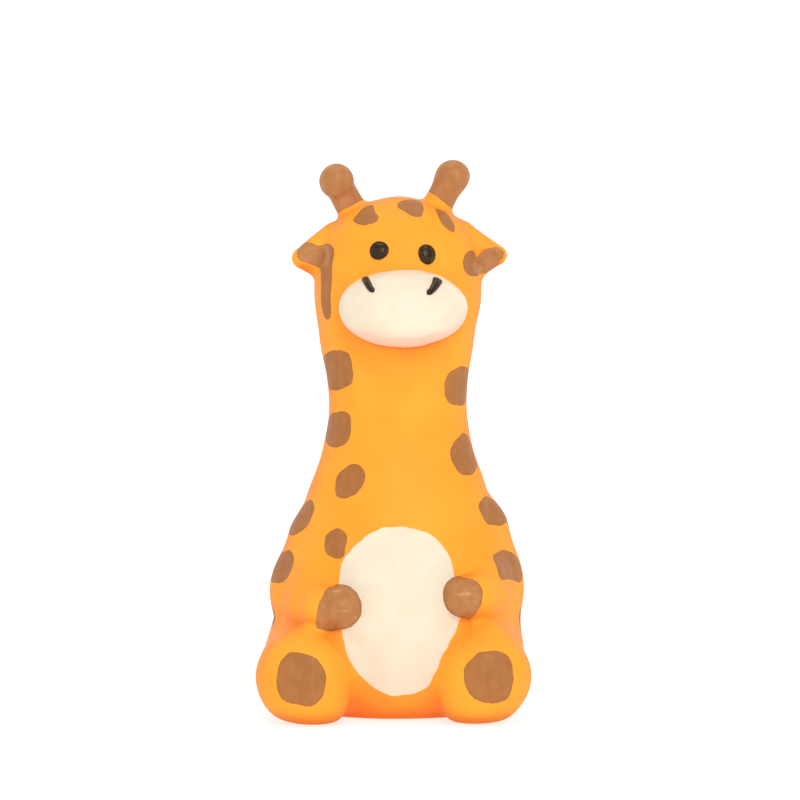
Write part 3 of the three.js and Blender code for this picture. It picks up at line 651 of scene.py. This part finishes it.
class Nodes:
    """A material's node tree, with short ways to add and join nodes."""

    def __init__(self, name):
        self.material = bpy.data.materials.new(name)
        self.material.use_nodes = True
        self.tree = self.material.node_tree
        self.shader = self.tree.nodes["Principled BSDF"]

    def add(self, kind, **sets):
        """A new node with some of its settings."""
        node = self.tree.nodes.new(kind)
        for key, value in sets.items():
            setattr(node, key, value)
        return node

    def join(self, value, socket):
        """Links an output to a socket, or sets the socket to a plain value."""
        if isinstance(value, bpy.types.NodeSocket):
            self.tree.links.new(value, socket)
        else:
            socket.default_value = value

    def maths(self, way, a, b=0.0, c=0.0):
        """One sum, product or the like of up to three values."""
        node = self.add("ShaderNodeMath", operation=way)
        for value, socket in zip((a, b, c), node.inputs):
            self.join(value, socket)
        return node.outputs[0]

    def ramp(self, value, low, high, start=0.0, end=1.0, smooth=True):
        """Goes from start to end while the value goes from low to high, and stays there outside."""
        node = self.add("ShaderNodeMapRange", interpolation_type="SMOOTHSTEP" if smooth else "LINEAR")
        for x, socket in zip((value, low, high, start, end), node.inputs):
            self.join(x, socket)
        return node.outputs[0]

    def mix(self, part, a, b):
        """Colour a, with part of it replaced by colour b."""
        node = self.add("ShaderNodeMix", data_type="RGBA", clamp_factor=True)
        self.join(part, node.inputs[0])
        self.join(a, node.inputs[6])
        self.join(b, node.inputs[7])
        return node.outputs[2]

    def noise(self, where, scale, detail=2.0, rough=0.5, stretch=None):
        """A cloudy value round 0.5, finer along an axis with a larger stretch."""
        if stretch:
            mapped = self.add("ShaderNodeMapping")
            self.join(where, mapped.inputs["Vector"])
            mapped.inputs["Scale"].default_value = stretch
            where = mapped.outputs[0]
        node = self.add("ShaderNodeTexNoise")
        self.join(where, node.inputs["Vector"])
        for key, value in (("Scale", scale), ("Detail", detail), ("Roughness", rough)):
            node.inputs[key].default_value = value
        return node.outputs["Fac"]

    def bump(self, height, strength, distance, under=None):
        """A normal for a relief, on top of the relief under it."""
        node = self.add("ShaderNodeBump")
        self.join(height, node.inputs["Height"])
        node.inputs["Strength"].default_value = strength
        node.inputs["Distance"].default_value = distance
        if under is not None:
            self.join(under, node.inputs["Normal"])
        return node.outputs[0]

    def split(self, vector):
        """The three parts of a vector, by the names X, Y and Z."""
        node = self.add("ShaderNodeSeparateXYZ")
        self.join(vector, node.inputs[0])
        return node.outputs

    def objects_own(self):
        """The place in the object's own coordinates."""
        return self.add("ShaderNodeTexCoord").outputs["Object"]

    def named(self, name, output="Fac"):
        """One attribute of the mesh."""
        return self.add("ShaderNodeAttribute", attribute_name=name).outputs[output]

    def set(self, **values):
        """Sets or links the shader's inputs, named with _ for a space."""
        for key, value in values.items():
            self.join(value, self.shader.inputs[key.replace("_", " ")])


def orange_paint(n, rest, height):
    """Orange with painted shade: redder where the skin turns aside, in creases and on undersides, and a
    painted shadow just above the floor.
    """
    crease, shade, aside = (n.named(name) for name in ("crease", "shade", "aside"))
    tone = n.mix(n.ramp(n.noise(rest, 0.055, 3), 0.35, 0.7), ORANGE, ORANGE_LIGHT)
    # Painted shade: redder orange where the skin turns aside from the front.
    tone = n.mix(n.ramp(aside, 0.4, 0.95, 0.0, 0.65), tone, ORANGE_SHADED_ASIDE)
    # Painted shade in creases.
    tone = n.mix(n.ramp(crease, 0.3, 0.9, 0.0, 0.2), tone, ORANGE_CREASE_SHADE)
    # Painted shade on undersides in recesses.
    tone = n.mix(n.ramp(shade, 0.0, 0.5, 0.0, 0.85, smooth=False), tone, ORANGE_UNDER_SHADE)
    # A painted shadow just above the floor, none on the flat base.
    floor_shadow = n.maths("MULTIPLY", n.ramp(height, 0.05, 0.6), n.ramp(height, 0, 5.5, 0.85, 0.0))
    return n.mix(floor_shadow, tone, ORANGE_FLOOR_SHADOW)


def cream_paint(n, rest, height):
    """Cream with painted shade: warmer and darker low on the belly, on undersides and in the band under the
    muzzle.
    """
    shade, shaded_under_muzzle = n.named("shade"), n.named("muzzle_shade")
    tone = n.mix(n.ramp(n.noise(rest, 0.12, 3), 0.4, 0.66), CREAM, CREAM_LIGHT)
    # Painted shade, darker and warmer towards the bottom of the belly.
    tone = n.mix(n.ramp(height, 12, 36, 0.3, 0.0), tone, CREAM_LOW_SHADE)
    # Painted shade on undersides in recesses.
    tone = n.mix(n.ramp(shade, 0.02, 0.4, 0.0, 0.6, smooth=False), tone, CREAM_UNDER_SHADE)
    # Painted shade in the band under the muzzle.
    return n.mix(n.ramp(shaded_under_muzzle, -0.15, 0.35, 0.0, 0.85), tone, CREAM_SHADE_UNDER_MUZZLE)


def brown_paint(n, rest, distance, thick, on_hand, brush_marks_and_highlights):
    """Brown, lighter where it lies thick, with painted highlight streaks on the hands and a darker rim."""
    strokes = n.ramp(n.noise(rest, 0.45, 3, 0.5, (1.0, 1.0, 0.5)), 0.35, 0.68)
    dark, light = n.mix(strokes, BROWN, BROWN_LIGHT), n.mix(strokes, TAN, TAN_LIGHT)
    tone = n.mix(n.ramp(thick, 0.0, 0.65, smooth=False), dark, light)
    # Painted highlight streaks across the hands.
    tone = n.mix(n.maths("MULTIPLY", on_hand, n.ramp(brush_marks_and_highlights, 0.58, 0.72, 0.0, 0.6)), tone, HAND_HIGHLIGHT)
    at_edge = n.ramp(n.maths("ABSOLUTE", distance), 0.0, 0.5, 1.0, 0.0)
    return n.mix(n.maths("MULTIPLY", at_edge, n.maths("MULTIPLY_ADD", on_hand, 0.3, 0.45)), tone, BROWN_RIM)


def painted_latex():
    """Orange latex with brushed brown and cream paint, each a thin coat with its own edge and gloss."""
    n = Nodes("painted_latex")
    rest = n.named("rest", "Vector")
    height = n.split(rest)["Z"]
    brown_distance, thick, cream_distance = (n.named(name) for name in ("brown", "thick", "cream"))
    fray = n.maths("MULTIPLY", n.maths("SUBTRACT", n.noise(rest, 1.6, 3), 0.5), 0.3)
    is_brown = n.ramp(n.maths("ADD", brown_distance, fray), -0.13, 0.13, 1.0, 0.0)
    is_cream = n.ramp(n.maths("ADD", cream_distance, fray), -0.13, 0.13, 1.0, 0.0)
    # One stretched noise gives both the brush-mark relief and the hands' painted highlight streaks.
    brush_marks_and_highlights, on_hand = n.noise(rest, 0.62, 3, 0.5, (0.2, 0.6, 1.0)), n.ramp(thick, 0.7, 0.95)
    tone = n.mix(is_cream, orange_paint(n, rest, height), cream_paint(n, rest, height))
    tone = n.mix(is_brown, tone, brown_paint(n, rest, brown_distance, thick, on_hand, brush_marks_and_highlights))
    rough = n.maths("SUBTRACT", 0.56, n.maths("MULTIPLY", is_cream, 0.10))
    brown_gloss = n.maths("MULTIPLY_ADD", thick, 0.27, 0.04)
    rough = n.maths("SUBTRACT", rough, n.maths("MULTIPLY", is_brown, brown_gloss))
    rough = n.maths("ADD", rough, n.ramp(n.noise(rest, 0.5, 4), 0.3, 0.7, -0.05, 0.05, smooth=False))
    edge = n.bump(n.maths("MAXIMUM", is_brown, is_cream), 0.35, 0.00012)
    marks = n.maths("MULTIPLY", brush_marks_and_highlights, n.maths("MULTIPLY_ADD", on_hand, 0.85, 0.1))
    waves = n.bump(n.noise(rest, 0.22, 2), 0.22, 0.0006, n.bump(marks, 0.5, 0.0004, edge))
    grain = n.bump(n.noise(rest, 3.2, 3, 0.6), 0.16, 0.00008, waves)
    n.set(Base_Color=tone, Roughness=rough, Normal=grain, IOR=1.45, Specular_IOR_Level=0.12,
          Subsurface_Weight=0.06, Subsurface_Radius=(0.0022, 0.0010, 0.0004), Coat_Weight=0.04,
          Coat_Roughness=0.30)
    return n.material


def wet_black():
    """Black-brown enamel dabbed on with a small brush."""
    n = Nodes("wet_black")
    where = n.objects_own()
    n.set(Base_Color=n.mix(n.ramp(n.noise(where, 700, 3), 0.35, 0.7), ENAMEL, ENAMEL_LIGHT),
          Roughness=n.ramp(n.noise(where, 900, 2), 0.3, 0.7, 0.24, 0.36), IOR=1.45,
          Normal=n.bump(n.noise(where, 620, 2), 0.35, 0.0002), Specular_IOR_Level=0.38,
          Specular_Tint=(1.0, 0.80, 0.58, 1))
    return n.material


def plastic(name, colour, cloudy, rough, grain):
    """Moulded plastic: a faint cloudiness, flow marks and the fine grain of its mould."""
    n = Nodes(name)
    where = n.objects_own()
    flow = n.bump(n.noise(where, 220, 2), 0.15, 0.00012)
    n.set(Base_Color=n.mix(n.ramp(n.noise(where, 160, 3), 0.35, 0.7), colour, cloudy),
          Roughness=n.ramp(n.noise(where, 900, 3), 0.3, 0.7, rough - 0.05, rough + 0.06),
          Normal=n.bump(n.noise(where, grain, 2), 0.12, 0.00004, flow), Subsurface_Weight=0.12,
          Subsurface_Radius=(0.001, 0.001, 0.001))
    return n.material


# The casting: one skin, cut at 80 mm into a torso and a head that share that edge

LATEX = painted_latex()
NECK_CUT, SPARE = 80.0, 3.0  # the height of the shared edge, and how far each net goes past it
TORSO_STEP, HEAD_STEP = ((0.72, 0.52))
INSIDE_STEP = 2.2
TORSO_BOX, HEAD_BOX = ((-44, -42, -2), (41, 38, 86)), ((-36, -37, 74), (36, 27, 163))  # what each net covers
INSIDE_BOX = ((-41, -40, 0), (39, 36, 150))
ASIDE, BELOW, ABOVE = 60, -20, 200  # past the skin on every side
SOCKET = [
    (0, -3), (12.9, -3), (12.9, 0), (12.45, 0.25), (12.3, 0.6), (12.3, 2), (9.5, 2), (9.5, 5.2), (0, 5.2)]


def below_cut(p):
    """The skin up to just above the cut."""
    return np.maximum(skin(p), p[..., 2] - NECK_CUT - SPARE)


def above_cut(p):
    """The skin from just below the cut."""
    return np.maximum(skin(p), NECK_CUT - SPARE - p[..., 2])


def casting():
    """The torso and the head, hollowed, with a recess and a hole in the base for the squeaker."""
    torso = piece("torso_skin", *net(below_cut, *TORSO_BOX, TORSO_STEP))
    head = piece("head_skin", *net(above_cut, *HEAD_BOX, HEAD_STEP))
    inner = net(hollow, *INSIDE_BOX, INSIDE_STEP)
    cut(torso, block((-ASIDE, -ASIDE, BELOW), (ASIDE, ASIDE, NECK_CUT)), "INTERSECT")
    cut(head, block((-ASIDE, -ASIDE, NECK_CUT), (ASIDE, ASIDE, ABOVE)), "INTERSECT")
    cut(torso, piece("tool", *inner), "DIFFERENCE")
    cut(head, piece("tool", *inner), "DIFFERENCE")
    cut(torso, turned("tool", SOCKET), "DIFFERENCE")
    for each in (torso, head):
        dress(each).data.materials.clear()
        each.data.materials.append(LATEX)
    return torso, head


torso, head = casting()
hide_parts("latex_body", "back_wall")
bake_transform(torso)
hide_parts("latex_head")
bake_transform(head)


# Eyes and nostrils

EYE_RISE, RIM_RISE, EYE_SUNK = 1.15, 0.6, 0.7  # heights of dome and rim, and how deep the edge goes
STROKE_RISE, STROKE_LIFT = 0.62, 0.12  # half the height of a stroke, and its middle above the skin


def on_skin(x, z):
    """The place on the front of the skin at x and z, and the direction out of it."""
    y = np.linspace(-45, 0, 4000)
    line = skin(np.stack([np.full_like(y, x), y, np.full_like(y, z)], -1))
    p = np.array((x, y[np.argmax(line < 0)], z))
    return p, slope_of(skin, p[None])[0]


def eye(name, x, z, half, tall, tilt):
    """A dab of paint, closed below: a dome inside a raised rim, slightly uneven all round. The dome is
    1.15 sqrt(1 - (r / 0.82)^3) high and the rim 0.6 sqrt(1 - ((r - 0.87) / 0.13)^2), r going from 0 to 1."""
    p, out = on_skin(x, z)
    across = np.cross((0, 0, 1), out)
    across /= length(across)
    up = np.cross(out, across)
    c, t = math.cos(math.radians(tilt)), math.sin(math.radians(tilt))
    across, up = across * c + up * t, up * c - across * t
    r, a = np.arange(1, 21) / 20, around_once(56)
    reach = r[:, None] * (1 + 0.018 * np.sin(2 * a + x) + 0.014 * np.sin(3 * a + z))
    rows = p + (half * reach * np.cos(a))[..., None] * across + (tall * reach * np.sin(a))[..., None] * up
    dome = EYE_RISE * np.sqrt(np.clip(1 - (r / 0.82) ** 3, 0, None))
    ridge = RIM_RISE * np.sqrt(np.clip(1 - ((r - 0.87) / 0.13) ** 2, 0, None))
    rise = np.append(np.maximum(dome, ridge)[:-1], -EYE_SUNK)
    rows += (rise[:, None] - skin(rows))[..., None] * out
    return capped(name, p - out * EYE_SUNK, rows[::-1], p + out * EYE_RISE)


def nostril(name, line, widths):
    """A thick brush stroke on the muzzle: a flattened tube with round ends along a curve through places."""
    knots = np.array(line, float)
    t = np.linspace(0, len(knots) - 1, 26)
    at = np.stack([np.interp(t, range(len(knots)), knots[:, n]) for n in (0, 1)], -1)
    for _ in range(3):
        at[1:-1] = (at[:-2] + at[1:-1] + at[2:]) / 3
    width = np.interp(t, range(len(knots)), widths)
    spine = np.array([on_skin(x, z)[0] for x, z in at])
    outs = slope_of(skin, spine)
    ahead = np.gradient(spine, axis=0)
    ahead /= length(ahead)[:, None]
    start, end = spine[0] - ahead[0] * width[0] * 0.35, spine[-1] + ahead[-1] * width[-1] * 0.8
    blunt, round_end = np.minimum(t / 0.2 + 0.7, 1), np.minimum((t[-1] - t) / 0.5 + 0.45, 1)
    cap, a = np.sqrt(1 - (1 - np.minimum(blunt, round_end)) ** 2), around_once(20)
    wide = (width * cap)[:, None] * np.cos(a)
    high = STROKE_RISE * cap[:, None] * np.sin(a) + STROKE_LIFT
    sides = np.cross(outs, ahead)
    rows = spine[:, None] + wide[..., None] * sides[:, None] + high[..., None] * outs[:, None]
    return capped(name, start, rows, end)


BLACK = wet_black()
NOSTRIL_LEFT = [(-10.1, 125.7), (-9.5, 124.5), (-8.8, 123.2), (-8.1, 122.4)]
NOSTRIL_RIGHT = [(10.3, 125.4), (9.6, 124.1), (8.5, 122.7), (7.4, 121.8)]
FACE = [
    eye("eye_left", -6.1, 133.7, 2.8, 2.8, 0), eye("eye_right", 7.45, 132.6, 2.6, 3.05, 12),
    nostril("nostril_left", NOSTRIL_LEFT, [1.05, 1.0, 0.9, 0.8]),
    nostril("nostril_right", NOSTRIL_RIGHT, [1.5, 1.2, 1.0, 0.85]),
]
for each in FACE:
    each.data.materials.append(BLACK)
    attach(each, "head")


# The squeaker under the base

PLUG = [
    (0, 0.62), (4.6, 0.62), (4.85, 0.5), (5.6, 0.5), (5.85, 0.62), (6.1, 0.78), (8.4, 0.78), (8.7, 0.62),
    (8.9, 0.5), (11.2, 0.5), (11.75, 0.62), (11.95, 0.9), (12, 1.2), (11.95, 1.55), (11.7, 1.7), (9.2, 1.7),
    (9.2, 4.5), (11, 4.5), (10.8, 4.9), (7, 7.1), (7, 14.7), (6.8, 15), (6, 15), (5.8, 14.8), (5.8, 2),
    (0, 2)]
SLOTS, SLOT_RADIUS, SLOT_REACH = (-2.6, 0, 2.6), 0.65, 2.55  # places, and the round ends' radius and centres


def plug():
    """The plug that shows under the base: a rimmed flange with a raised ring, and slots for the air."""
    body = turned("plug_face", PLUG)
    count = 24
    a, n = around_once(count), np.arange(count)
    m = (n + 1) % count
    faces = [n[::-1].tolist(), (count + n).tolist(), *np.stack([n, m, count + m, count + n], -1).tolist()]
    along = SLOT_RADIUS * np.sin(a) + np.sign(np.sin(a) + 1e-9) * SLOT_REACH
    for x in SLOTS:
        across = x + SLOT_RADIUS * np.cos(a)
        points = np.concatenate([np.stack([across, along, np.full(count, z)], -1) for z in (-1.0, 3.0)])
        cut(body, piece("tool", points, faces, smooth=False), "DIFFERENCE")
    body.data.set_sharp_from_angle(angle=math.radians(38))
    return body


plug_face = plug()
plug_face.data.materials.clear()
plug_face.data.materials.append(
    plastic("squeaker_plastic", (0.80, 0.79, 0.74, 1), (0.86, 0.85, 0.81, 1), 0.34, 2400))
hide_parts("squeaker_plug")
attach(plug_face, "body")

grey = plastic("reed_unit_plastic", (0.56, 0.62, 0.66, 1), (0.64, 0.69, 0.72, 1), 0.42, 3000)
film = plastic("reed_film", (0.45, 0.55, 0.62, 1), (0.55, 0.64, 0.70, 1), 0.20, 5000)
for name, material in (("reed_tube", grey), ("tone_board", grey), ("reed_wedge", grey), ("reed", film)):
    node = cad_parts[name]
    node.data.materials.clear()
    node.data.materials.append(material)


# Floor, lights and camera: the sweep's sizes are in millimetres, and the places after them in metres

SWEEP_NEAR, SWEEP_BEND, SWEEP_RADIUS, SWEEP_TOP, SWEEP_HALF = -2500, 1200, 600, 2600, 3000
LIGHTS = [
    ("key", (0.30, -1.20, 0.70), (0.8, 0.8), 10.2), ("fill", (-0.9, -0.9, 0.45), (0.8, 0.8), 1.9),
    ("right_strip", (0.85, 0.12, 0.25), (0.16, 0.9), 0.75),
    ("left_strip", (-0.85, 0.15, 0.25), (0.2, 0.9), 0.9), ("top", (0.0, 0.1, 1.1), (0.7, 0.7), 3.2)]
LIT = Vector((0.002, 0, 0.08))  # where the lights point
# Width of the sensor and distance in mm, mm of the toy's middle a pixel, and the picture's width in pixels
SENSOR, DISTANCE, PIXEL, PICTURE = 36, 900, 0.2907, 800
SEEN = Vector((0.00265, 0.00245, 0.0900))  # where the camera points
CAMERA_LEFT, CAMERA_ABOVE = 2, 3.5  # degrees round to the left, and above


def stage():
    """A white sweep: a floor that curves up behind the toy, lit evenly all over."""
    turn = np.radians(np.arange(0, 91, 6))
    bend = np.stack([SWEEP_BEND + SWEEP_RADIUS * np.sin(turn), SWEEP_RADIUS * (1 - np.cos(turn))], -1)
    line = [(SWEEP_NEAR, 0), *bend.tolist(), (SWEEP_BEND + SWEEP_RADIUS, SWEEP_TOP)]
    points = [(x, y, z) for y, z in line for x in (-SWEEP_HALF, SWEEP_HALF)]
    sweep = piece("sweep", points, [(2 * n, 2 * n + 1, 2 * n + 3, 2 * n + 2) for n in range(len(line) - 1)])
    n = Nodes("sweep")
    where = n.objects_own()
    n.set(Base_Color=n.mix(n.noise(where, 3, 2), (0.40, 0.40, 0.40, 1), (0.42, 0.42, 0.42, 1)), Roughness=0.8,
          Emission_Color=WHITE, Emission_Strength=n.ramp(n.split(where)["Y"], 0.15, 1.0, 0.72, 1.02))
    sweep.data.materials.append(n.material)
    sweep.location.z = -0.0004
    world = bpy.data.worlds.new("studio")
    bpy.context.scene.world = world
    world.use_nodes = True
    background = world.node_tree.nodes["Background"].inputs
    background["Color"].default_value, background["Strength"].default_value = WHITE, 0.42
    for name, place, size, power in LIGHTS:
        light = bpy.data.lights.new(name, "AREA")
        light.shape, light.size, light.size_y, light.energy = "RECTANGLE", *size, power
        lamp = bpy.data.objects.new(name, light)
        lamp.location = place
        lamp.rotation_mode = "QUATERNION"
        lamp.rotation_quaternion = (LIT - Vector(place)).to_track_quat("-Z", "Y")
        bpy.context.scene.collection.objects.link(lamp)


def camera():
    """The photograph's view, slightly from the left and from above."""
    yaw, rise = math.radians(CAMERA_LEFT), math.radians(CAMERA_ABOVE)
    ahead = Vector((math.sin(yaw) * math.cos(rise), math.cos(yaw) * math.cos(rise), -math.sin(rise)))
    lens = bpy.data.cameras.new("camera")
    lens.sensor_width, lens.lens = SENSOR, SENSOR * DISTANCE / PIXEL / PICTURE
    made = bpy.data.objects.new("camera", lens)
    made.location = SEEN - ahead * (DISTANCE / 1000)
    made.rotation_mode = "QUATERNION"
    made.rotation_quaternion = ahead.to_track_quat("-Z", "Y")
    bpy.context.scene.collection.objects.link(made)
    bpy.context.scene.camera = made


stage()
camera()
scene = bpy.context.scene
scene.view_settings.view_transform = "Standard"
scene.view_settings.look = "None"
